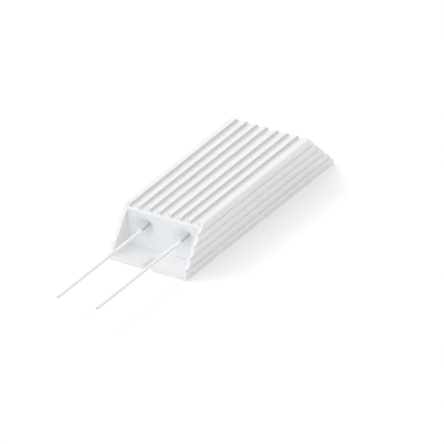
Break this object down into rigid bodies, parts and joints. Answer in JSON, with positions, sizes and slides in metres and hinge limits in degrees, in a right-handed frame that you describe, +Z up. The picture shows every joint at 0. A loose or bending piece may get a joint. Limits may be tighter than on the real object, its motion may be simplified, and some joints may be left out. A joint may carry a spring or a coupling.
{
  "type": "aluminium housed power resistor",
  "caption": "Ribbed aluminium housing with sloping ends and open mounting slots, cement potted wire-wound cores inside and stiff wire leads at one end.",
  "frame": {"origin": "middle of the mounting face under the base plate", "axes": "+Z up out of the mounting face, +Y along the extrusion away from the leads, +X across the width"},
  "size_m": [0.06, 0.2413, 0.03],
  "materials": {
    "housing_aluminium": "clear anodised extrusion with fine drawing lines along its length",
    "potting_cement": "pale matt potting cement with a fine grain",
    "core_ceramic": "matt unglazed ceramic",
    "resistance_wire": "oxidised alloy wire",
    "cap_metal": "pressed steel",
    "link_brass": "flat rolled strip",
    "ferrule_metal": "dull crimped ferrule",
    "tinned_copper": "tinned solid copper",
    "wire_insulation": "smooth white fluoropolymer"
  },
  "bodies": {
    "root": {"housing": "housing_aluminium", "cement_fill": "potting_cement", "core_left": "core_ceramic", "core_right": "core_ceramic", "winding_left": "resistance_wire", "winding_right": "resistance_wire", "lead_cap_left": "cap_metal", "lead_cap_right": "cap_metal", "link_cap_left": "cap_metal", "link_cap_right": "cap_metal", "link_strip": "link_brass", "ferrule_left": "ferrule_metal", "ferrule_right": "ferrule_metal", "conductor_left": "tinned_copper", "conductor_right": "tinned_copper", "insulation_left": "wire_insulation", "insulation_right": "wire_insulation"}
  },
  "joints": []
}
